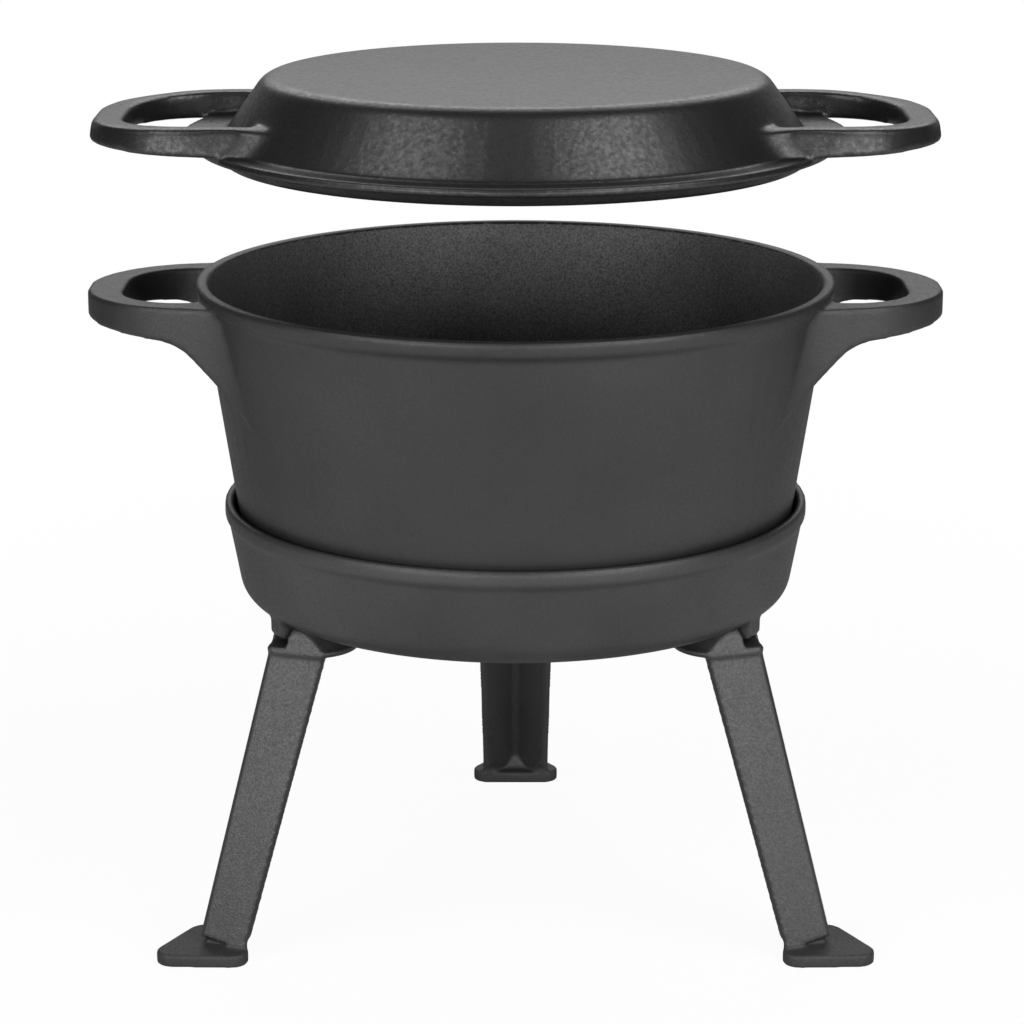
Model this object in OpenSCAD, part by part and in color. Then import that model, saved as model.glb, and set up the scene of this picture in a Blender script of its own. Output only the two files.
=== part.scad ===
// Camp dutch oven: a cast-iron pot and its skillet lid on a three-legged dish.
// Upright axis on Z, ground at z = 0, the loop handles along X, one leg at the back.

/* [Pot] */
// Outer diameter of the collar round the pot's rim
pot_rim_d = 260; // [230:1:290]
// Height of the pot from its underside to its rim
pot_h = 126.7; // [110:0.1:150]
// Lean of the pot's wall from upright, in degrees
pot_draft = 8.6; // [6:0.1:10]
// Thickness of the pot's wall
pot_wall = 3.6; // [3:0.1:5]
// Thickness of the pot's floor
pot_floor = 5; // [4:0.1:7]
// Radius of the outside corner between the pot's wall and floor
pot_corner_r = 18; // [16:0.5:22]
// Height of the collar round the pot's rim
pot_collar_h = 7; // [5:0.5:10]
// How far the pot's collar stands proud of the wall
pot_collar_t = 1.5; // [1:0.1:2.5]

/* [Pot handles] */
// Reach of each pot handle beyond the rim
pot_grip_reach = 43.5; // [38:0.5:50]
// Overall width of each pot handle
pot_grip_w = 97; // [85:1:110]
// Length of the straight part at the tip of a pot handle
pot_grip_flat = 4; // [2:1:20]
// Width of the band at the tip of a pot handle
pot_grip_tip = 15; // [12:0.5:18]
// Width of the side bars of a pot handle
pot_grip_bar = 13; // [10:0.5:15]
// Radius of the corners of a pot handle's loop
pot_hole_r = 25; // [20:1:30]
// Thickness of a pot handle at its root
pot_grip_root_t = 14.2; // [11:0.1:16]
// Thickness of a pot handle at its tip
pot_grip_tip_t = 10.8; // [8:0.1:12]
// Depth of the handle's top below the pot's rim
pot_grip_drop = 3.8; // [3:0.1:6]
// Radius of the hollow curve from a handle's bars to the pot, inside the loop
pot_root_in_r = 14; // [8:1:16]
// Radius of the hollow curve from a handle's bars to the pot, outside the loop
pot_root_out_r = 50; // [30:1:70]
// Distance from the rim's edge out to where the bracket's slope begins
pot_bracket_out = 4; // [0:0.5:7]
// Slope of the bracket under a handle, from level, in degrees
pot_bracket_slope = 45; // [40:1:56]
// Radius of the hollow curve between bracket and handle
pot_bracket_r = 22; // [8:1:26]

/* [Lid] */
// Height of the lid above the face that seats on the pot
lid_h = 28.6; // [24:0.1:34]
// Lean of the lid's side from upright, in degrees
lid_draft = 35.4; // [30:0.1:40]
// Thickness of the lid's side
lid_wall = 4.5; // [3.5:0.1:6]
// Thickness of the lid's flat top
lid_top_t = 5; // [4:0.1:7]
// Radius of the edge round the lid's flat top
lid_edge_r = 9; // [6:0.5:12]
// How far the lid's flange stays inside the pot's collar
lid_inset = 1.5; // [0.5:0.1:3]
// Width of the ledge outside the lid's side
lid_ledge_w = 10; // [8:0.5:12]
// Thickness of the lid's flange
lid_flange_t = 3.3; // [2.5:0.1:5]
// Height of the lip that drops into the pot
lid_lip_h = 5.2; // [3:0.1:7]
// Clearance between the lip and the pot's mouth
lid_lip_clear = 3.6; // [2:0.1:5]
// How far the lip narrows towards its lower edge
lid_lip_taper = 4; // [2:0.1:5]
// Thickness of the lip at its lower edge
lid_lip_t = 4.2; // [3:0.1:6]
// Height at which the lid is shown above its seat
lid_lift = 53.9; // [20:0.1:80]

/* [Lid handles] */
// Reach of each lid handle beyond the lid's flange
lid_grip_reach = 41.5; // [38:0.5:50]
// Width of each lid handle at its top
lid_grip_w = 114; // [104:1:122]
// Length of the straight part at the tip of a lid handle
lid_grip_flat = 23; // [4:1:32]
// Width of the band at the tip of a lid handle
lid_grip_tip = 11.5; // [9:0.5:14]
// Width of the side bars of a lid handle
lid_grip_bar = 9.5; // [8:0.5:12]
// Slope of a lid handle's sides, from upright, in degrees
lid_grip_draft = 9; // [4:0.5:12]
// Thickness of a lid handle at its root
lid_grip_root_t = 11.3; // [10:0.1:12.4]
// Thickness of a lid handle at its tip
lid_grip_tip_t = 8.3; // [7:0.1:9.5]
// Height of the handle's top above the lid's seating face
lid_grip_top = 14.4; // [12.5:0.1:17]
// How far the handle's top falls from the flange out to the tip
lid_grip_fall = 1.8; // [0:0.1:3]
// How far the ledge inside a lid handle's loop reaches beyond the flange
lid_web_w = 6.5; // [3:0.5:9]
// Thickness of the ledge inside a lid handle's loop
lid_web_t = 2.2; // [1.5:0.1:3]

/* [Dish] */
// Height of the dish's underside above the ground
stand_h = 134.5; // [110:0.5:160]
// Depth of the dish from rim to floor, inside
dish_depth = 35.6; // [30:0.1:45]
// Lean of the dish's wall from upright, in degrees
dish_draft = 10.5; // [6:0.1:11]
// Thickness of the dish's wall
dish_wall = 3.5; // [3:0.1:5]
// Thickness of the dish's floor
dish_floor = 5; // [4.6:0.1:7]
// Radius of the outside corner between the dish's wall and floor
dish_corner_r = 10; // [8:0.5:14]
// Height of the collar round the dish's rim
dish_collar_h = 7.2; // [5:0.1:10]
// How far the dish's collar stands proud of the wall
dish_collar_t = 1.2; // [0.6:0.1:2]
// Clearance between the pot and the dish's rim
dish_play = 1.6; // [1.2:0.1:3]

/* [Legs] */
// Distance from the dish's lower edge in to the leg screws
leg_inset = 17.4; // [15:0.1:21]
// Radius of a leg's round head
leg_head_r = 19.5; // [18:0.1:22]
// Thickness of the round head's rim
leg_head_t = 3; // [2.4:0.1:4]
// Height of the conical boss between the head's rim and the dish
leg_boss_h = 8; // [6:0.1:10]
// Radius of the boss where it meets the dish
leg_boss_r = 12.7; // [11:0.1:14]
// How far the head stands proud of the leg's wings
leg_head_proud = 0.8; // [0.4:0.1:1.6]
// Splay of the legs from upright, in degrees
leg_splay = 16; // [10:0.1:18]
// How far a leg's ridge stands outside the head's edge
leg_ridge_out = 0.6; // [0:0.1:2]
// Angle of each wing of a leg from its ridge plane, in degrees
leg_wing_angle = 49.5; // [45:0.5:58]
// Width of a leg across its wings under the head
leg_w_head = 35.4; // [30:0.1:38]
// Width of a leg across its wings at the foot
leg_w_foot = 30.5; // [27:0.1:33]
// Thickness of a leg's wings
leg_wall = 4.8; // [4:0.1:5.6]
// Radius of the rounded ridge of a leg
leg_ridge_r = 2.5; // [1.5:0.1:4]
// Radius of the hollow inside a leg's ridge
leg_valley_r = 2.5; // [1.5:0.1:4]

/* [Feet] */
// Thickness of the foot plate
foot_t = 5.2; // [4:0.1:7]
// Length of the foot plate outside the leg's ridge
foot_toe = 18.3; // [15:0.1:26]
// Length of the foot plate inside the leg's ridge
foot_heel = 15.2; // [14:0.1:17]
// Width of the foot plate
foot_w = 38.8; // [36:0.1:44]
// Radius of the foot plate's corners
foot_corner_r = 7; // [4:0.1:8]
// Gap between the foot plate and the lower end of the leg's ridge
foot_gap = 3.4; // [2.4:0.1:4]
// Height of the web inside the leg above the foot plate
foot_web_h = 12; // [8:0.5:18]

/* [Leg fastening] */
// Width of the dish's key lugs
lug_w = 9; // [7:0.1:11]
// Length of the key lugs, from their outer face inwards
lug_l = 8; // [6:0.1:9]
// Drop of the key lugs below the dish
lug_drop = 5.2; // [4:0.1:6]
// Distance from the dish's lower edge in to the lug's outer face
lug_inset = 1; // [0.4:0.1:2]
// Clearance beside and behind the lug in the leg's notch
lug_clear = 1.2; // [0.5:0.1:1.6]
// Clearance under the lug in the leg's notch
lug_under = 2.8; // [1.6:0.1:3.4]
// Diameter of the leg screws
screw_d = 6; // [5:0.1:6]
// Clearance of the leg screws in their holes, on the diameter
screw_clear = 0.6; // [0.3:0.05:1]
// Head diameter of the leg screws
screw_head_d = 11.5; // [10.5:0.1:12]
// Depth of the screw head below the dish's floor
screw_sink = 0.4; // [0.3:0.05:0.8]
// Length of screw that stands out below the nut
screw_stub = 2.5; // [1:0.1:4]
// Width across flats of the screw's hexagon socket
screw_key = 4; // [3:0.1:4]
// Outer diameter of the washers
washer_d = 12; // [11.5:0.1:14]
// Thickness of the washers
washer_t = 1.6; // [1:0.1:2]
// Width across flats of the nuts
nut_af = 10; // [9:0.1:11]
// Thickness of the nuts
nut_t = 5; // [4:0.1:6]
// Running clearance of the nuts on the screws, on the diameter
nut_clear = 0.1; // [0.05:0.01:0.18]

/* [Hidden] */
$fn = 128;
// Fine rounding of cast edges
edge_r = 1.4;
// Number of steps in a rounded corner of an outline
corner_steps = 8;
// Distance by which a cut runs past a face
over = 1;
// Gap round a screw head in its countersink
head_gap = 0.1;
// Height of the straight rim of a screw head
head_rim = 0.4;
// Depth of the screw's hexagon socket
socket_depth = 2;
// Colours of the cast iron and of the plated fasteners
iron_outside = [0.23, 0.23, 0.23];
iron_lid = [0.27, 0.27, 0.27];
iron_leg = [0.31, 0.31, 0.31];
plated = [0.55, 0.55, 0.56];

// Levels, from the ground up
leg_boss_z = stand_h - leg_boss_h;
leg_head_z = leg_boss_z - leg_head_t;
pot_z = stand_h + dish_floor;
rim_z = pot_z + pot_h;
lid_z = rim_z + lid_lift;

// Pot: the outer wall is a cone, and the collar runs parallel to it
pot_rim_r = pot_rim_d / 2;
pot_lean = pot_wall / cos(pot_draft);
function pot_r(h) = pot_rim_r - pot_collar_t - (pot_h - h) * tan(pot_draft);
pot_mouth_r = pot_r(pot_h) - pot_lean;
pot_tip_x = pot_rim_r + pot_grip_reach;
pot_grip_r = (pot_grip_w - pot_grip_flat) / 2;
pot_grip_x = pot_tip_x - pot_grip_r;
pot_hole_w = pot_grip_w - 2 * pot_grip_bar;
pot_hole_flat = pot_hole_w - 2 * pot_hole_r;
pot_hole_x = pot_tip_x - pot_grip_tip - pot_hole_r;
pot_inner_x = pot_mouth_r - pot_grip_w / 2;
pot_root_bite = 0.1;

// Lid: its flange follows the pot's rim and its lip follows the pot's mouth
lid_flange_r = pot_rim_r - lid_inset;
lid_side_r = lid_flange_r - lid_ledge_w;
lid_lean = lid_wall / cos(lid_draft);
function lid_r(h) = lid_side_r - (h - lid_flange_t) * tan(lid_draft);
lid_lip_r = pot_mouth_r - lid_lip_clear;
lid_inside_r = lid_lip_r - lid_lip_taper - lid_lip_t;
lid_tip_x = lid_flange_r + lid_grip_reach;
lid_grip_low = lid_grip_top - lid_grip_root_t;
lid_grip_spread = lid_grip_root_t * tan(lid_grip_draft);
lid_grip_r = (lid_grip_w - lid_grip_flat) / 2;
lid_grip_x = lid_tip_x - lid_grip_spread - lid_grip_r;
lid_hole_r = lid_grip_r - lid_grip_bar;
lid_hole_x = lid_tip_x - lid_grip_spread - lid_grip_tip - lid_hole_r;
lid_root_x = sqrt(pow(lid_flange_r, 2) - pow(lid_grip_w / 2 + lid_grip_spread, 2));

// Dish: its mouth follows the pot's wall at the height of the dish's rim
dish_h = dish_floor + dish_depth;
dish_mouth_r = pot_r(dish_depth) + dish_play;
dish_lean = dish_wall / cos(dish_draft);
function dish_in_r(h) = dish_mouth_r - (dish_h - h) * tan(dish_draft);
function dish_r(h) = dish_in_r(h) + dish_lean;

// Legs: the ridge starts just outside the edge of the round head
leg_angles = [90, 210, 330];
leg_circle_r = dish_r(0) - leg_inset;
leg_ridge_r0 = leg_circle_r + leg_head_r + leg_ridge_out;
leg_end_z = foot_t + foot_gap;
function leg_ridge_rho(z) = leg_ridge_r0 + (leg_head_z - z) * tan(leg_splay);
leg_foot_rho = leg_ridge_rho(leg_end_z);
leg_len = (leg_head_z - leg_end_z) / cos(leg_splay);
leg_top_extra = leg_w_head / 2;
leg_wing_l = (leg_w_head / 2 + leg_wall) / sin(leg_wing_angle);
foot_toe_rho = leg_foot_rho + foot_toe;
foot_heel_rho = leg_foot_rho - foot_heel;
lug_r = dish_r(0) - lug_inset;
lug_top_h = dish_corner_r;
notch_w = lug_w + 2 * lug_clear;

// Leg screws
screw_bore = screw_d + screw_clear;
screw_top_z = pot_z - screw_sink;
screw_cone_h = (screw_head_d - screw_d) / 2;
nut_z = leg_head_z - washer_t - nut_t;
screw_end_z = nut_z - screw_stub;

function unit(v) = v / norm(v);
function turn(v, a) = [v.x * cos(a) - v.y * sin(a), v.x * sin(a) + v.y * cos(a)];

// Points of the rounded corner at b, between the neighbours a and c
function corner(a, b, c, r) =
    r == 0 ? [b] :
    let (
        u = unit(a - b),
        v = unit(c - b),
        half = acos(u * v) / 2,
        mid = b + unit(u + v) * r / sin(half),
        from = b + u * r / tan(half) - mid,
        to = b + v * r / tan(half) - mid,
        sweep = sign(cross(from, to)) * (180 - 2 * half)
    )
    [for (i = [0 : corner_steps]) mid + turn(from, sweep * i / corner_steps)];

// Outline through [x, y, corner radius] points
function rounded(pts) =
    let (n = len(pts), xy = [for (p = pts) [p.x, p.y]])
    [for (i = [0 : n - 1]) each corner(xy[(i + n - 1) % n], xy[i], xy[(i + 1) % n], pts[i].z)];

// Point at a from the origin and b from the point p, on the left of p
function meet(p, a, b) =
    let (d = norm(p), along = (a * a - b * b + d * d) / (2 * d))
    (p * along + [-p.y, p.x] * sqrt(a * a - along * along)) / d;

module revolve(pts) rotate_extrude() polygon(rounded(pts));

// Prism of an outline in X and Z, as wide as given along Y
module side_prism(pts, width)
    translate([0, width / 2, 0]) rotate([90, 0, 0]) linear_extrude(width) polygon(rounded(pts));

// Plan of a handle on the +X side: straight sides, round corners of radius r about x, and a straight tip;
// these are its sizes at the top, and its sides spread downwards
module grip_disc(x, r, flat, draft, low, high) {
    low_r = r + (high - low) * tan(draft);
    root = x / 2;
    for (y = [-flat / 2, flat / 2])
        translate([x, y, low]) cylinder(r1 = low_r, r2 = r, h = high - low);
    side_prism([
        [root, low, 0],
        [x + low_r, low, 0],
        [x + r, high, 0],
        [root, high, 0]
    ], flat);
    translate([root, 0, 0])
        rotate([90, 0, 90])
            linear_extrude(x - root)
                polygon([
                    [-flat / 2 - low_r, low],
                    [flat / 2 + low_r, low],
                    [flat / 2 + r, high],
                    [-flat / 2 - r, high]
                ]);
}

// Ring of a loop handle; its hole narrows downwards where its outside spreads
module grip_ring(x, r, flat, hole_x, hole_r, hole_flat, draft, low, high)
    difference() {
        grip_disc(x, r, flat, draft, low, high);
        grip_disc(hole_x, hole_r, hole_flat, -draft, low - over, high + over);
    }

module both_sides() {
    children();
    mirror([1, 0, 0]) children();
}

module at_leg(i) rotate([0, 0, leg_angles[i]]) children();

module at_screw(i) at_leg(i) translate([leg_circle_r, 0, 0]) children();

// Pot

module pot_shell() {
    collar = pot_h - pot_collar_h;
    revolve([
        [0, 0, 0],
        [pot_r(0), 0, pot_corner_r],
        [pot_r(collar), collar, 0],
        [pot_r(collar) + pot_collar_t, collar + pot_collar_t / 2, pot_collar_t / 3],
        [pot_rim_r, pot_h, edge_r],
        [pot_mouth_r, pot_h, edge_r],
        [pot_r(pot_floor) - pot_lean, pot_floor, pot_corner_r - pot_wall],
        [0, pot_floor, 0]
    ]);
}

// Space inside the middle of the pot's wall
module pot_core()
    revolve([
        [0, pot_floor / 2, 0],
        [pot_r(pot_floor / 2) - pot_lean / 2, pot_floor / 2, pot_corner_r],
        [pot_r(pot_h) - pot_lean / 2, pot_h, 0],
        [0, pot_h, 0]
    ]);

// Side view of a pot handle and the brackets that carry it
module pot_grip_side() {
    top = pot_h - pot_grip_drop;
    knee_x = pot_rim_r + pot_bracket_out;
    knee_z = top - pot_grip_root_t;
    side_prism([
        [pot_inner_x, top, 0],
        [pot_tip_x, top, edge_r],
        [pot_tip_x, top - pot_grip_tip_t, edge_r],
        [knee_x, knee_z, pot_bracket_r],
        [pot_inner_x, knee_z - (knee_x - pot_inner_x) * tan(pot_bracket_slope), 0]
    ], pot_grip_w + 2 * pot_root_out_r);
}

// Block from a bar of a pot handle at y to where the fillet of radius r about mid ends, as far out as x
module pot_root(x, y, end_y, r, mid)
    difference() {
        translate([pot_inner_x, min(y, end_y), 0])
            cube([x - pot_inner_x, abs(end_y - y), pot_h]);
        translate([mid.x, mid.y, -over]) cylinder(r = r + pot_root_bite, h = pot_h + 2 * over);
    }

// Fillets between a handle's bars and the pot; they run into the wall at the brackets' feet,
// where the pot is narrower
module pot_roots() {
    foot_r = pot_r(pot_h * 3 / 5);
    bar_y = (pot_grip_w - pot_grip_bar) / 2;
    bend = [pot_grip_x, pot_grip_flat / 2];
    out_mid = meet(bend, foot_r + pot_root_out_r, pot_grip_r + pot_root_out_r);
    out_x = bend.x + (out_mid.x - bend.x) * pot_grip_r / (pot_grip_r + pot_root_out_r);
    out_end_y = out_mid.y * foot_r / (foot_r + pot_root_out_r);
    in_y = pot_hole_w / 2 - pot_root_in_r;
    in_mid = [sqrt(pow(foot_r + pot_root_in_r, 2) - pow(in_y, 2)), in_y];
    for (side = [0, 1])
        mirror([0, side, 0]) {
            pot_root(out_x, bar_y, out_end_y, pot_root_out_r, out_mid);
            pot_root(in_mid.x, bar_y, in_y, pot_root_in_r, in_mid);
        }
}

module pot_grip()
    difference() {
        intersection() {
            union() {
                grip_ring(pot_grip_x, pot_grip_r, pot_grip_flat, pot_hole_x, pot_hole_r, pot_hole_flat,
                    0, 0, pot_h);
                pot_roots();
            }
            pot_grip_side();
        }
        pot_core();
    }

module pot()
    color(iron_outside) translate([0, 0, pot_z]) {
        pot_shell();
        both_sides() pot_grip();
    }

// Lid

module lid_shell() {
    inside_top = lid_h - lid_top_t;
    revolve([
        [0, lid_h, 0],
        [lid_r(lid_h), lid_h, lid_edge_r],
        [lid_side_r, lid_flange_t, edge_r],
        [lid_flange_r, lid_flange_t, edge_r],
        [lid_flange_r, 0, edge_r / 2],
        [lid_lip_r, 0, 0],
        [lid_lip_r - lid_lip_taper, -lid_lip_h, edge_r],
        [lid_inside_r, -lid_lip_h, edge_r],
        [lid_inside_r, lid_flange_t + (lid_side_r - lid_lean - lid_inside_r) / tan(lid_draft), edge_r],
        [lid_r(inside_top) - lid_lean, inside_top, lid_edge_r],
        [0, inside_top, 0]
    ]);
}

// Space inside the middle of the lid's side
module lid_core()
    revolve([
        [0, 0, 0],
        [lid_side_r - lid_lean / 2, 0, 0],
        [lid_side_r - lid_lean / 2, lid_flange_t, 0],
        [lid_r(lid_grip_top) - lid_lean / 2, lid_grip_top, 0],
        [0, lid_grip_top, 0]
    ]);

// Side view of a lid handle; inside the flange it reaches down into it
module lid_grip_side() {
    inner_x = lid_grip_x - lid_grip_w / 2;
    tip_z = lid_grip_top - lid_grip_fall;
    side_prism([
        [inner_x, lid_grip_top, 0],
        [lid_flange_r, lid_grip_top, 0],
        [lid_tip_x, tip_z, edge_r],
        [lid_tip_x, tip_z - lid_grip_tip_t, edge_r],
        [lid_root_x, lid_grip_low, 0],
        [lid_root_x, lid_flange_t / 2, 0],
        [inner_x, lid_flange_t / 2, 0]
    ], lid_grip_w + 2 * lid_grip_root_t);
}

// Thin ledge that closes the inner end of a lid handle's loop, round the flange
module lid_web() {
    low = lid_flange_t * 3 / 4;
    intersection() {
        translate([0, 0, low]) cylinder(r = lid_flange_r + lid_web_w, h = lid_grip_low + lid_web_t - low);
        translate([0, (lid_grip_bar - lid_grip_w) / 2, 0])
            cube([lid_tip_x, lid_grip_w - lid_grip_bar, lid_grip_top]);
    }
}

module lid_grip()
    difference() {
        union() {
            intersection() {
                grip_ring(lid_grip_x, lid_grip_r, lid_grip_flat, lid_hole_x, lid_hole_r, lid_grip_flat,
                    lid_grip_draft, 0, lid_grip_top);
                lid_grip_side();
            }
            lid_web();
        }
        lid_core();
    }

module lid()
    color(iron_lid) translate([0, 0, lid_z]) {
        lid_shell();
        both_sides() lid_grip();
    }

// Dish

module dish_shell() {
    collar = dish_h - dish_collar_h;
    revolve([
        [0, 0, 0],
        [dish_r(0), 0, dish_corner_r],
        [dish_r(collar), collar, 0],
        [dish_r(collar) + dish_collar_t, collar + dish_collar_t / 2, dish_collar_t / 3],
        [dish_r(collar) + dish_collar_t, dish_h, edge_r],
        [dish_mouth_r, dish_h, edge_r],
        [dish_in_r(dish_floor), dish_floor, dish_corner_r - dish_wall],
        [0, dish_floor, 0]
    ]);
}

// Key lug under the dish's corner, which stops a leg from turning
module dish_lug()
    difference() {
        side_prism([
            [lug_r - lug_l, -lug_drop, edge_r],
            [lug_r, -lug_drop, 2 * edge_r],
            [lug_r, lug_top_h, 0],
            [lug_r - lug_l, lug_top_h, 0]
        ], lug_w);
        dish_core();
    }

// Space inside the middle of the dish's wall
module dish_core()
    revolve([
        [0, dish_floor / 2, 0],
        [dish_in_r(dish_floor / 2) + dish_lean / 2, dish_floor / 2, dish_corner_r - dish_wall / 2],
        [dish_r(dish_h) - dish_lean / 2, dish_h, 0],
        [0, dish_h, 0]
    ]);

// Hole and countersink for a leg screw, from above
module screw_seat() {
    head_r = screw_head_d / 2 + head_gap;
    translate([0, 0, stand_h - over]) cylinder(d = screw_bore, h = dish_floor + 2 * over);
    translate([0, 0, screw_top_z - head_rim]) cylinder(r = head_r, h = head_rim + screw_sink + over);
    translate([0, 0, screw_top_z - head_rim - screw_cone_h])
        cylinder(r1 = head_r - screw_cone_h, r2 = head_r, h = screw_cone_h);
}

module stand_dish()
    color(iron_outside) difference() {
        translate([0, 0, stand_h]) {
            dish_shell();
            for (i = [0 : len(leg_angles) - 1]) at_leg(i) dish_lug();
        }
        for (i = [0 : len(leg_angles) - 1]) at_screw(i) screw_seat();
    }

// Legs, each made on the +X side with its ridge outwards

// Section of the leg square to its length, with the ridge at the origin
module wing_section() {
    along = leg_wing_l * [-cos(leg_wing_angle), sin(leg_wing_angle)];
    inward = leg_wall * [-sin(leg_wing_angle), -cos(leg_wing_angle)];
    valley = [-leg_wall / sin(leg_wing_angle), 0];
    polygon(rounded([
        [0, 0, leg_ridge_r],
        [along.x, along.y, 0],
        [along.x + inward.x, along.y + inward.y, 0],
        [valley.x, 0, leg_valley_r],
        [along.x + inward.x, -along.y - inward.y, 0],
        [along.x, -along.y, 0]
    ]));
}

// Frame of the leg: origin at the lower end of the ridge, Z up along the ridge
module along_leg()
    translate([leg_foot_rho, 0, leg_end_z]) rotate([0, -leg_splay, 0]) children();

// Prism that trims one wing square, to its width at the foot and at the head
module wing_trim(side) {
    top = leg_len + leg_top_extra;
    foot_l = leg_w_foot / 2 / sin(leg_wing_angle);
    head_l = leg_w_head / 2 / sin(leg_wing_angle);
    top_l = foot_l + (head_l - foot_l) * top / leg_len;
    rotate([0, 0, side * (180 - leg_wing_angle)])
        side_prism([
            [-leg_wing_l, 0, 0],
            [foot_l, 0, 0],
            [top_l, top, 0],
            [-leg_wing_l, top, 0]
        ], 4 * leg_wing_l);
}

// Both wings, up to the middle of the head's rim
module leg_wings()
    intersection() {
        along_leg() intersection() {
            linear_extrude(leg_len + leg_top_extra) wing_section();
            wing_trim(1);
            wing_trim(-1);
        }
        translate([0, -leg_w_head, 0])
            cube([foot_toe_rho, 2 * leg_w_head, leg_head_z + leg_head_t / 2]);
    }

// Sloping web that fills the leg's hollow just above the foot
module foot_web() {
    inner = leg_wall / 2;
    half_w = leg_w_foot / 2 - inner;
    deep = half_w / tan(leg_wing_angle);
    low = foot_t / 2 - leg_end_z;
    along_leg() translate([-inner / sin(leg_wing_angle), 0, low]) intersection() {
        linear_extrude(foot_web_h - low) polygon([[0, 0], [-deep, half_w], [-deep, -half_w]]);
        side_prism([[0, 0, 0], [0, foot_web_h - low, 0], [-deep, 0, 0]], 2 * half_w);
    }
}

// Flat triangular plate with round corners, point outwards
module foot_plate() {
    heel_x = foot_heel_rho + foot_corner_r;
    toe_x = foot_toe_rho - foot_corner_r;
    side_y = foot_w / 2 - foot_corner_r;
    half = atan2(side_y, toe_x - heel_x);
    tip = foot_corner_r / sin(half);
    edge = foot_corner_r / tan((90 - half) / 2);
    linear_extrude(foot_t) polygon(rounded([
        [toe_x + tip, 0, foot_corner_r],
        [foot_heel_rho, side_y + edge, foot_corner_r],
        [foot_heel_rho, -side_y - edge, foot_corner_r]
    ]));
}

// Space below the ground and behind the plate's heel, which the web must not reach into
module foot_trim()
    translate([0, -foot_w / 2, -leg_end_z]) {
        cube([foot_heel_rho, foot_w, 2 * leg_end_z]);
        cube([foot_toe_rho, foot_w, leg_end_z]);
    }

// Round head with the conical boss that meets the dish
module head_disc()
    translate([leg_circle_r, 0, leg_head_z]) revolve([
        [0, 0, 0],
        [leg_head_r, 0, leg_head_t / 2],
        [leg_head_r, leg_head_t, edge_r / 2],
        [leg_head_r - edge_r, leg_head_t, 0],
        [leg_boss_r, leg_head_t + leg_boss_h, 0],
        [0, leg_head_t + leg_boss_h, 0]
    ]);

// The head follows the wings on its outer side, a little proud of them
module leg_head() {
    reach = 4 * leg_head_r;
    intersection() {
        head_disc();
        along_leg() translate([leg_head_proud / sin(leg_wing_angle), 0, 0])
            linear_extrude(leg_len + leg_head_r) polygon([
                [0, 0],
                reach * [-cos(leg_wing_angle), sin(leg_wing_angle)],
                reach * [-cos(leg_wing_angle), -sin(leg_wing_angle)]
            ]);
    }
}

// Notch on the outer side of the head, which takes the dish's lug
module lug_notch()
    translate([lug_r - lug_l - lug_clear, -notch_w / 2, stand_h - lug_drop - lug_under])
        cube([2 * leg_head_r, notch_w, lug_drop + lug_under + over]);

module leg(i)
    color(iron_leg) at_leg(i) difference() {
        union() {
            leg_head();
            leg_wings();
            foot_web();
            foot_plate();
        }
        lug_notch();
        translate([leg_circle_r, 0, leg_head_z - over])
            cylinder(d = screw_bore, h = leg_head_t + leg_boss_h + 2 * over);
        foot_trim();
    }

// Leg fasteners

module screw(i)
    color(plated) at_screw(i) difference() {
        rotate_extrude() polygon([
            [0, screw_end_z],
            [screw_d / 2, screw_end_z],
            [screw_d / 2, screw_top_z - head_rim - screw_cone_h],
            [screw_head_d / 2, screw_top_z - head_rim],
            [screw_head_d / 2, screw_top_z],
            [0, screw_top_z]
        ]);
        translate([0, 0, screw_top_z - socket_depth])
            cylinder(d = screw_key / cos(30), h = socket_depth + over, $fn = 6);
    }

module washer(i)
    color(plated) at_screw(i) translate([0, 0, leg_head_z - washer_t]) difference() {
        cylinder(d = washer_d, h = washer_t);
        translate([0, 0, -over]) cylinder(d = screw_bore, h = washer_t + 2 * over);
    }

module nut(i)
    color(plated) at_screw(i) translate([0, 0, nut_z]) difference() {
        cylinder(d = nut_af / cos(30), h = nut_t, $fn = 6);
        translate([0, 0, -over]) cylinder(d = screw_d + nut_clear, h = nut_t + 2 * over);
    }

lid();
pot();
stand_dish();
leg(0);  // leg_back
leg(1);  // leg_left
leg(2);  // leg_right
screw(0);  // screw_back
screw(1);  // screw_left
screw(2);  // screw_right
washer(0);  // washer_back
washer(1);  // washer_left
washer(2);  // washer_right
nut(0);  // nut_back
nut(1);  // nut_left
nut(2);  // nut_right
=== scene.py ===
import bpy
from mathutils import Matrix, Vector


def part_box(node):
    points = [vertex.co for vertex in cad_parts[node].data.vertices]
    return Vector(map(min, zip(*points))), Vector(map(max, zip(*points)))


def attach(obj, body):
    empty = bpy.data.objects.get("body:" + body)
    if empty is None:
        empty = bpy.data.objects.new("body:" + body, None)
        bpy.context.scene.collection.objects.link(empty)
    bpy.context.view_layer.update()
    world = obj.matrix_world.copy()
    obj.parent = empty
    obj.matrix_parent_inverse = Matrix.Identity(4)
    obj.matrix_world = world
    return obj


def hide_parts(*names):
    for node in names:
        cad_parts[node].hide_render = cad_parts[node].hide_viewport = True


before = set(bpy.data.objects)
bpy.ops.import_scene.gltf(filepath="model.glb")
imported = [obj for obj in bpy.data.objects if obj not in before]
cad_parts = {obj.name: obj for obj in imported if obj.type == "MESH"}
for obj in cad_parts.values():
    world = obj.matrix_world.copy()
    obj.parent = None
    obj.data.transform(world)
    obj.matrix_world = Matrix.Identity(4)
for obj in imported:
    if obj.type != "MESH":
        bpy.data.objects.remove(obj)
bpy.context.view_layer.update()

import math

import bmesh
import bpy
from mathutils import Vector

MM = 0.001
BLACK = (0, 0, 0, 1)
WHITE = (1, 1, 1, 1)
scene = bpy.context.scene
scene.view_settings.view_transform = "Standard"


# Node helpers

NOISE_RANGE = (0.3, 0.7)  # where most of a noise texture's values lie


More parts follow.
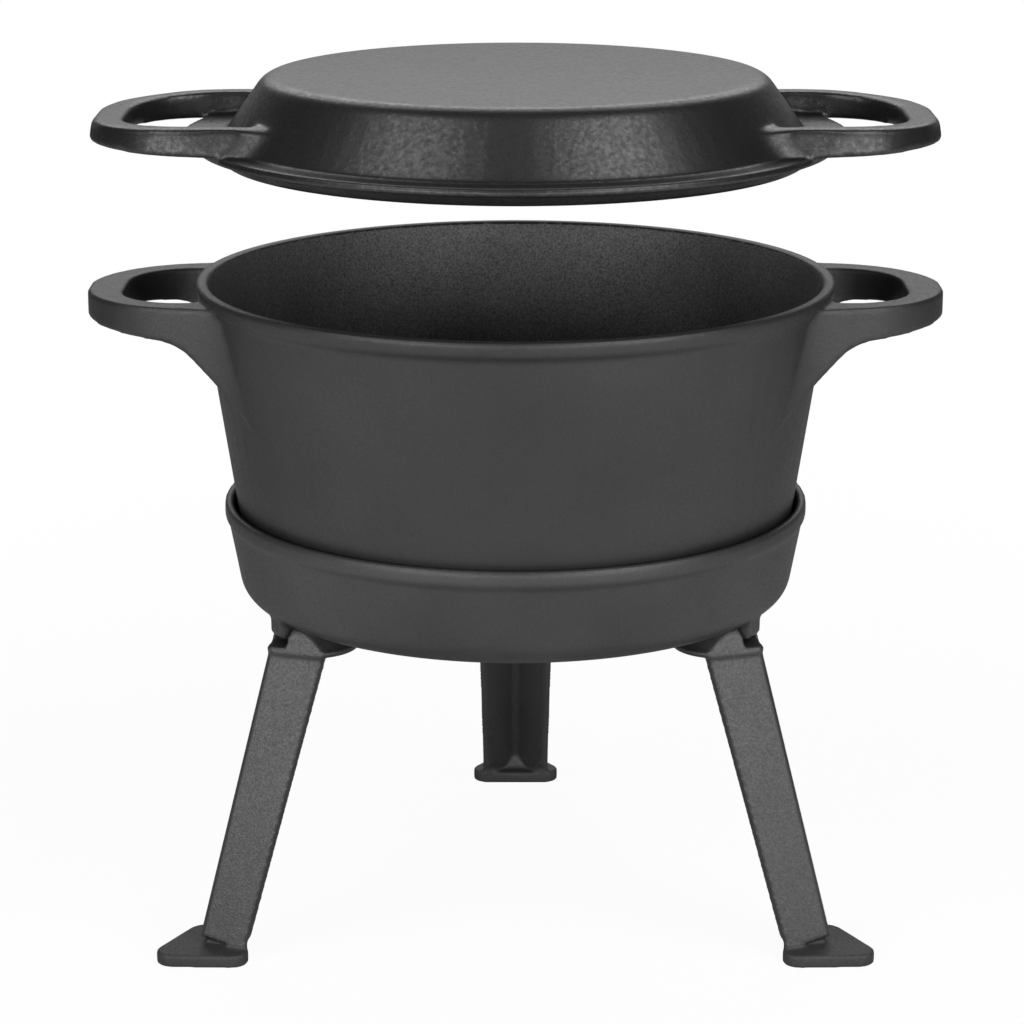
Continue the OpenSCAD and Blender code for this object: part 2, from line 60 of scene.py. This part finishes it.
def new_material(name):
    material = bpy.data.materials.new(name)
    material.use_nodes = True
    tree = material.node_tree
    return material, tree, tree.nodes["Principled BSDF"]


def add_node(tree, kind, inputs=None, **properties):
    """Adds a node; each input is a socket to link or a plain value."""
    node = tree.nodes.new(kind)
    for key, value in properties.items():
        setattr(node, key, value)
    for key, value in (inputs or {}).items():
        if isinstance(value, bpy.types.NodeSocket):
            tree.links.new(value, node.inputs[key])
        else:
            node.inputs[key].default_value = value
    return node


def object_coords(tree):
    return add_node(tree, "ShaderNodeTexCoord").outputs["Object"]


def noise(tree, coords, feature, detail=2.0, roughness=0.5):
    """Noise whose grains are about as wide as feature, in metres."""
    node = add_node(tree, "ShaderNodeTexNoise",
                    {"Vector": coords, "Scale": 1 / feature, "Detail": detail, "Roughness": roughness})
    return node.outputs["Fac"]


def spread(tree, value, low, high, source=NOISE_RANGE):
    """Maps a value from its source range to low..high."""
    node = add_node(tree, "ShaderNodeMapRange",
                    {"Value": value, "From Min": source[0], "From Max": source[1],
                     "To Min": low, "To Max": high})
    return node.outputs["Result"]


def combine(tree, operation, first, second):
    return add_node(tree, "ShaderNodeMath", {0: first, 1: second}, operation=operation).outputs["Value"]


def mix_colour(tree, factor, first, second, blend_type="MIX"):
    node = add_node(tree, "ShaderNodeMix", {"Factor": factor, "A": first, "B": second},
                    data_type="RGBA", blend_type=blend_type)
    return node.outputs["Result"]


def mix_shader(tree, factor, first, second):
    return add_node(tree, "ShaderNodeMixShader", {0: factor, 1: first, 2: second}).outputs["Shader"]


def emission(tree, colour):
    return add_node(tree, "ShaderNodeEmission", {"Color": colour, "Strength": 1.0}).outputs["Emission"]


def bump(tree, height, distance, strength, normal=None):
    inputs = {"Height": height, "Distance": distance, "Strength": strength}
    if normal is not None:
        inputs["Normal"] = normal
    return add_node(tree, "ShaderNodeBump", inputs).outputs["Normal"]


# Materials

PATCH_WIDTH = 45 * MM
PATCH_DARK = (0.78, 0.78, 0.80)  # shares of the base colour
PATCH_PALE = (1.22, 1.21, 1.18)
EDGE_HIGHLIGHT_PALE = (3, 3, 3)
EDGE_POINTINESS = (0.53, 0.60)  # where the painted edge highlight starts and where it is full
SPECULAR = 0.5
ROUGHNESS_SPREAD = 0.08
PEEL_DEPTH = 0.25 * MM
GRAIN_DEPTH = 0.12 * MM

ZINC_DARK = (0.40, 0.41, 0.43, 1)
ZINC_PALE = (0.58, 0.58, 0.57, 1)
ZINC_ROUGHNESS = (0.42, 0.28)  # of the dark and the pale clouds
CLOUD_WIDTH = 3 * MM
SCRATCH_WIDTH = 0.4 * MM
SCRATCH_DEPTH = 0.03 * MM
SCRATCH_BUMP = 0.4


def share(base, shares):
    return tuple(base * part for part in shares) + (1,)


def cast_iron(name, base, roughness, grain, grain_bump, peel, peel_bump, edge_highlight, speckle):
    """Black cast iron: sand grain, slow orange peel, mottled colour, dark pits and paler edges, a painted
    highlight.
    """
    material, tree, shader = new_material(name)
    link = tree.links.new
    coords = object_coords(tree)
    fine = noise(tree, coords, grain, detail=3.0, roughness=0.6)
    slow = noise(tree, coords, peel, detail=1.0)
    patches = noise(tree, coords, PATCH_WIDTH, detail=3.0)
    pointiness = add_node(tree, "ShaderNodeNewGeometry").outputs["Pointiness"]

    colour = mix_colour(tree, spread(tree, patches, 0, 1), share(base, PATCH_DARK), share(base, PATCH_PALE))
    # Paler convex edges by pointiness: a painted highlight along the edges
    painted_edges = spread(tree, pointiness, 0, edge_highlight, EDGE_POINTINESS)
    colour = mix_colour(tree, painted_edges, colour, share(base, EDGE_HIGHLIGHT_PALE))
    pits = spread(tree, fine, 1 - speckle, 1 + speckle)
    link(mix_colour(tree, 1.0, colour, pits, "MULTIPLY"), shader.inputs["Base Color"])

    gloss = spread(tree, fine, SPECULAR - speckle / 2, SPECULAR + speckle / 2)
    link(gloss, shader.inputs["Specular IOR Level"])
    rough = spread(tree, fine, roughness + ROUGHNESS_SPREAD, roughness - ROUGHNESS_SPREAD)
    link(rough, shader.inputs["Roughness"])
    skin = bump(tree, slow, PEEL_DEPTH, peel_bump)
    link(bump(tree, fine, GRAIN_DEPTH, grain_bump, skin), shader.inputs["Normal"])
    return material


def plated_steel(name):
    """Zinc-plated hardware: pale grey with cloudy patches and a fine satin scratch."""
    material, tree, shader = new_material(name)
    link = tree.links.new
    coords = object_coords(tree)
    cloud = noise(tree, coords, CLOUD_WIDTH, detail=3.0)
    scratch = noise(tree, coords, SCRATCH_WIDTH)
    link(mix_colour(tree, spread(tree, cloud, 0, 1), ZINC_DARK, ZINC_PALE), shader.inputs["Base Color"])
    link(spread(tree, cloud, *ZINC_ROUGHNESS), shader.inputs["Roughness"])
    link(bump(tree, scratch, SCRATCH_DEPTH, SCRATCH_BUMP), shader.inputs["Normal"])
    shader.inputs["Metallic"].default_value = 1.0
    return material


LID_IRON = cast_iron("lid_iron", base=0.009, roughness=0.34, grain=1.9 * MM, grain_bump=0.65,
                     peel=5 * MM, peel_bump=0.25, edge_highlight=0.35, speckle=0.25)
POT_IRON = cast_iron("pot_iron", base=0.014, roughness=0.44, grain=1.0 * MM, grain_bump=0.5,
                     peel=6 * MM, peel_bump=0.25, edge_highlight=0.30, speckle=0.08)
# The pot's inside: the same iron with a far lighter base colour than the outside's, painted light for the
# light that the hollow under the lid does not get
INSIDE_IRON_PAINTED_LIGHT = cast_iron("inside_iron_painted_light", base=0.080, roughness=0.45, grain=0.9 * MM, grain_bump=2.5,
                        peel=5 * MM, peel_bump=0.4, edge_highlight=0.25, speckle=0.45)
STAND_IRON = cast_iron("stand_iron", base=0.022, roughness=0.44, grain=1.0 * MM, grain_bump=0.5,
                       peel=6 * MM, peel_bump=0.25, edge_highlight=0.30, speckle=0.10)
LEG_IRON = cast_iron("leg_iron", base=0.023, roughness=0.40, grain=1.0 * MM, grain_bump=0.7,
                     peel=5 * MM, peel_bump=0.3, edge_highlight=0.35, speckle=0.12)
FOOT_IRON = cast_iron("foot_iron", base=0.023, roughness=0.60, grain=1.0 * MM, grain_bump=0.7,
                      peel=5 * MM, peel_bump=0.3, edge_highlight=0.35, speckle=0.12)
PLATED = plated_steel("plated_steel")


# Castings: the CAD solids with the soft edges and fillets that a sand mould leaves

# Voxel size, smoothing passes and the share of the faces that is kept
LARGE_CASTING = (0.9 * MM, 8, 0.3)
SMALL_CASTING = (0.6 * MM, 14, 0.4)
SMOOTHING = 0.5  # of each pass
FILLET_PASSES = 50  # before the others, by weight


def baked(mesh, name, add_modifiers, weights=None):
    """The mesh with modifiers applied; weights fill the vertex group "soft"."""
    holder = bpy.data.objects.new(name, mesh)
    scene.collection.objects.link(holder)
    if weights:
        soft = holder.vertex_groups.new(name="soft")
        for vertex in mesh.vertices:
            weight = weights(vertex.co)
            if weight > 0:
                soft.add([vertex.index], weight, "REPLACE")
    add_modifiers(holder.modifiers)
    depsgraph = bpy.context.evaluated_depsgraph_get()
    result = bpy.data.meshes.new_from_object(holder.evaluated_get(depsgraph))
    bpy.data.objects.remove(holder)
    return result


def add_smooth(modifiers, name, passes, group=""):
    smooth = modifiers.new(name, "SMOOTH")
    smooth.factor = SMOOTHING
    smooth.iterations = passes
    smooth.vertex_group = group


def casting(node, body, quality, materials, join=None, fillet=None):
    """Rounds a CAD node's edges and lets the result stand for it.

    join adds forms to the copy of the node's mesh; fillet weighs the places to round more.
    """
    voxel, passes, keep = quality

    def rough(modifiers):
        remesh = modifiers.new("remesh", "REMESH")
        remesh.mode = "VOXEL"
        remesh.voxel_size = voxel

    def finish(modifiers):
        if fillet:
            add_smooth(modifiers, "fillet", FILLET_PASSES, "soft")
        add_smooth(modifiers, "smooth", passes)
        modifiers.new("thin", "DECIMATE").ratio = keep

    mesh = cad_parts[node].data.copy()
    if join:
        join(mesh)
    mesh = baked(mesh, node + "_rough", rough)
    mesh = baked(mesh, node + "_finish", finish, fillet)
    piece = bpy.data.objects.new(node + "_casting", mesh)
    scene.collection.objects.link(piece)
    mesh.materials.clear()
    for material in materials:
        mesh.materials.append(material)
    mesh.polygons.foreach_set("use_smooth", [True] * len(mesh.polygons))
    mesh.polygons.foreach_set("material_index", [0] * len(mesh.polygons))
    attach(piece, body)
    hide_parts(node)
    return piece


def paint_hollow(piece, low, high, radius):
    """Gives the second material, the lighter iron whose colour is painted light, to the faces of a round
    hollow about the Z axis.
    """
    for face in piece.data.polygons:
        spot = face.center
        within = low < spot.z < high and math.hypot(spot.x, spot.y) < radius
        faces_in = face.normal.z > 0.5 or spot.x * face.normal.x + spot.y * face.normal.y < 0
        if within and faces_in:
            face.material_index = 1


# The lid's handles, in mm; heights run from the underside of the lid's flange

LIP_H = 5.2  # the lid's lip, below the flange
GAUGE_H = 4  # where the next two are measured
SIDE_R = 118.0
BAR_OUT = 58.6
SIDE_FALL = 0.711  # inwards per mm of height
BAR_FALL = 0.155

ROOT_HEIGHTS = (3.4, 6.0, 8.6, 11.2, 13.9)  # levels of a root's fillet
ROOT_R = 23
ROOT_STEPS = 8
ROOT_SINK = 2.5  # overlap with the bar and the side

SOFT_ROOT_H = (4, 22)  # where the roots are smoothed
SOFT_ROOT_Y = (52, 20)  # middle and reach
SOFT_ROOT_OUT = (3, 8)  # middle, outside the side's face, and reach
SOFT_ROOT_GAIN = 4  # widens the part that has the full weight
SOFT_BAR_FROM = 131  # from here outwards the bars are smoothed
SOFT_BAR_FADE = 6
SOFT_BAR_WEIGHT = 0.4


def lid_side(height):
    """Radius of the lid's sloping side."""
    return SIDE_R - (height - GAUGE_H) * SIDE_FALL


def root_plan(height):
    """Plan of a fillet between a bar's outer face and the sloping side, for x and y above 0."""
    side = lid_side(height)
    bar = BAR_OUT - (height - GAUGE_H) * BAR_FALL
    mid_y = bar + ROOT_R
    mid_x = math.sqrt((side + ROOT_R) ** 2 - mid_y ** 2)
    turn = math.pi / 2 - math.atan2(mid_y, mid_x)
    angles = [1.5 * math.pi - turn * step / ROOT_STEPS for step in range(ROOT_STEPS + 1)]
    plan = [(mid_x + ROOT_R * math.cos(a), mid_y + ROOT_R * math.sin(a)) for a in angles]
    inward = 1 - ROOT_SINK / side
    plan.append((plan[-1][0] * inward, plan[-1][1] * inward))
    plan.append((math.sqrt(side ** 2 - bar ** 2) * inward, bar * inward))
    plan.append((mid_x, bar - ROOT_SINK))
    return plan


def root_fillets(mesh):
    """Joins to the lid's mesh the fillets that run from the handles' bars into the sloping side."""
    shape = bmesh.new()
    shape.from_mesh(mesh)
    added = []
    for along, across in ((1, 1), (1, -1), (-1, 1), (-1, -1)):
        rings = []
        for height in ROOT_HEIGHTS:
            level = lid_low[2] + (LIP_H + height) * MM
            rings.append([shape.verts.new((along * x * MM, across * y * MM, level))
                          for x, y in root_plan(height)])
        added += [shape.faces.new(rings[0]), shape.faces.new(rings[-1])]
        for low, high in zip(rings, rings[1:]):
            for i in range(len(low)):
                added.append(shape.faces.new((low[i - 1], low[i], high[i], high[i - 1])))
    bmesh.ops.recalc_face_normals(shape, faces=added)
    shape.to_mesh(mesh)
    shape.free()


def near(value, target, reach):
    """1 where value is at the target, falling to 0 at the reach."""
    return max(0.0, 1 - abs(value - target) / reach)


def lid_fillet(spot):
    """Weights the handles' bars a little, and their roots on the lid's sloping side in full."""
    height = (spot.z - lid_low[2]) / MM - LIP_H
    radius = math.hypot(spot.x, spot.y) / MM
    middle, reach = SOFT_ROOT_OUT
    root = 0.0
    if SOFT_ROOT_H[0] < height < SOFT_ROOT_H[1]:
        at_side = near(radius, lid_side(height) + middle, reach)
        root = min(1.0, SOFT_ROOT_GAIN * at_side * near(abs(spot.y) / MM, *SOFT_ROOT_Y))
    bar = SOFT_BAR_WEIGHT * min(1.0, max(0.0, (radius - SOFT_BAR_FROM) / SOFT_BAR_FADE))
    return max(root, bar)


RIM_SKIN = 1 * MM  # the pot's rim keeps the outside's skin down to here
RIM_R = 127 * MM
FOOT_TOP = 7 * MM

pot_low, pot_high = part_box("pot")
lid_low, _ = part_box("lid")

casting("lid", "lid", LARGE_CASTING, [LID_IRON], root_fillets, lid_fillet)
pot = casting("pot", "pot", LARGE_CASTING, [POT_IRON, INSIDE_IRON_PAINTED_LIGHT])
casting("stand_dish", "stand", LARGE_CASTING, [STAND_IRON])
for side in ("back", "left", "right"):
    leg = casting("leg_" + side, "stand", SMALL_CASTING, [LEG_IRON, FOOT_IRON])
    for face in leg.data.polygons:
        face.material_index = int(face.center.z < FOOT_TOP)
paint_hollow(pot, pot_low[2], pot_high[2] - RIM_SKIN, RIM_R)


# Fasteners: the CAD solids with broken edges

BROKEN_EDGE = 0.25 * MM

for name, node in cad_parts.items():
    if name.split("_")[0] in ("screw", "washer", "nut"):
        node.data.materials.clear()
        node.data.materials.append(PLATED)
        edge = node.modifiers.new("broken_edge", "BEVEL")
        edge.width = BROKEN_EDGE
        edge.segments = 2
        edge.limit_method = "ANGLE"


# Studio: a pale floor, a dim room that is white to the camera, and five soft boxes

DIM_ROOM = 0.05
PALE_ROOM = 0.28
ROOM_TURN = (0.6, 0.95)  # from the dim front to the pale back, along Y

FLOOR_HALF = 6.0
FLOOR_DARK = (0.88, 0.88, 0.88, 1)
FLOOR_PALE = (0.92, 0.92, 0.92, 1)
FLOOR_GRAIN = 2 * MM
FLOOR_ROUGHNESS = 0.9
FLOOR_SHADE = 0.6  # how much darker reflections see it, behind and under the object
SHADE_BEHIND = (-0.10, 0.25)  # along Y
SHADE_UNDER = (0.20, 0.65)  # from the middle, on an oval
OVAL = (1.6, 1, 1)
NEAR_WHITE = 0.94  # the rest is the real floor with the object's shadow
WHITE_REACH = (0.35, 0.9)  # from nearly white to white, on the same oval

# Name, azimuth from the camera's side towards +X and elevation in degrees, distance, width and
# height in metres, and radiance
SOFT_BOXES = (
    ("top_light", 180, 41, 1.8, 1.6, 1.4, 1.6),
    ("left_light", -50, 44, 2.2, 1.4, 1.4, 3.1),
    ("right_light", 49, 44, 2.2, 1.4, 1.4, 4.3),
    ("left_strip", -33, 7, 2.2, 2.05, 0.58, 6.0),
    ("right_strip", 33, 7, 2.2, 2.05, 0.58, 6.0),
)
LIT_SPOT = Vector((0, 0, 0.2))

# The camera that was fitted to the photograph; focal length and middle in pixels
PHOTO_WIDTH = 1024
PHOTO_FOCAL = 3357.1
PHOTO_MIDDLE = 515.5
CAMERA_SPOT = (0, -1.34294, 0.529587)
CAMERA_TILT = 0.264
SENSOR_WIDTH = 36


def studio_world():
    """A room that is pale behind the object and dim in front, and plain white to the camera."""
    world = bpy.data.worlds.new("studio")
    scene.world = world
    world.use_nodes = True
    tree = world.node_tree
    way = add_node(tree, "ShaderNodeTexCoord").outputs["Generated"]
    split = add_node(tree, "ShaderNodeSeparateXYZ", {"Vector": way})
    room = spread(tree, split.outputs["Y"], DIM_ROOM, PALE_ROOM, ROOM_TURN)
    to_camera = add_node(tree, "ShaderNodeLightPath").outputs["Is Camera Ray"]
    seen = add_node(tree, "ShaderNodeMix", {"Factor": to_camera, "A": room, "B": 1.0}, data_type="FLOAT")
    background = tree.nodes["Background"]
    tree.links.new(seen.outputs["Result"], background.inputs["Strength"])
    background.inputs["Color"].default_value = WHITE


def floor_paper():
    """White to the camera, with a faint shadow; reflections see it darker behind and under the object."""
    material, tree, shader = new_material("floor_paper")
    coords = object_coords(tree)
    tint = mix_colour(tree, noise(tree, coords, FLOOR_GRAIN), FLOOR_DARK, FLOOR_PALE)
    tree.links.new(tint, shader.inputs["Base Color"])
    shader.inputs["Roughness"].default_value = FLOOR_ROUGHNESS

    split = add_node(tree, "ShaderNodeSeparateXYZ", {"Vector": coords})
    oval = add_node(tree, "ShaderNodeVectorMath", {0: coords, 1: OVAL}, operation="MULTIPLY")
    length = add_node(tree, "ShaderNodeVectorMath", {0: oval.outputs["Vector"]}, operation="LENGTH")
    reach = length.outputs["Value"]
    rays = add_node(tree, "ShaderNodeLightPath").outputs

    behind = spread(tree, split.outputs["Y"], 0.0, FLOOR_SHADE, SHADE_BEHIND)
    under = spread(tree, reach, FLOOR_SHADE, 0.0, SHADE_UNDER)
    mirrored = combine(tree, "MAXIMUM", rays["Is Glossy Ray"], rays["Is Transmission Ray"])
    shade = combine(tree, "MULTIPLY", mirrored, combine(tree, "MAXIMUM", behind, under))
    paper = mix_shader(tree, shade, shader.outputs["BSDF"], emission(tree, BLACK))

    whiteness = spread(tree, reach, NEAR_WHITE, 1.0, WHITE_REACH)
    seen = combine(tree, "MULTIPLY", rays["Is Camera Ray"], whiteness)
    surface = mix_shader(tree, seen, paper, emission(tree, WHITE))
    tree.links.new(surface, tree.nodes["Material Output"].inputs["Surface"])
    return material


def studio_floor():
    mesh = bpy.data.meshes.new("floor")
    corners = [(x * FLOOR_HALF, y * FLOOR_HALF, 0) for x, y in ((-1, -1), (1, -1), (1, 1), (-1, 1))]
    mesh.from_pydata(corners, [], [(0, 1, 2, 3)])
    floor = bpy.data.objects.new("floor", mesh)
    scene.collection.objects.link(floor)
    mesh.materials.append(floor_paper())


def soft_box(name, azimuth, elevation, distance, width, height, radiance):
    """Area light that faces the object."""
    turn, rise = math.radians(azimuth), math.radians(elevation)
    way = Vector((math.sin(turn) * math.cos(rise), -math.cos(turn) * math.cos(rise), math.sin(rise)))
    lamp = bpy.data.lights.new(name, "AREA")
    lamp.shape = "RECTANGLE"
    lamp.size, lamp.size_y = width, height
    lamp.energy = radiance * math.pi * width * height
    box = bpy.data.objects.new(name, lamp)
    scene.collection.objects.link(box)
    box.location = LIT_SPOT + way * distance
    box.rotation_euler = (-way).to_track_quat("-Z", "Y").to_euler()


def studio_camera():
    """The photograph's view: from the front, 15 degrees above level."""
    data = bpy.data.cameras.new("camera")
    data.sensor_width = SENSOR_WIDTH
    data.lens = PHOTO_FOCAL / PHOTO_WIDTH * SENSOR_WIDTH
    data.shift_x = (PHOTO_WIDTH / 2 - PHOTO_MIDDLE) / PHOTO_WIDTH
    camera = bpy.data.objects.new("camera", data)
    scene.collection.objects.link(camera)
    camera.location = CAMERA_SPOT
    camera.rotation_euler = (math.pi / 2 - CAMERA_TILT, 0, 0)
    scene.camera = camera


studio_world()
studio_floor()
for soft_box_values in SOFT_BOXES:
    soft_box(*soft_box_values)
studio_camera()
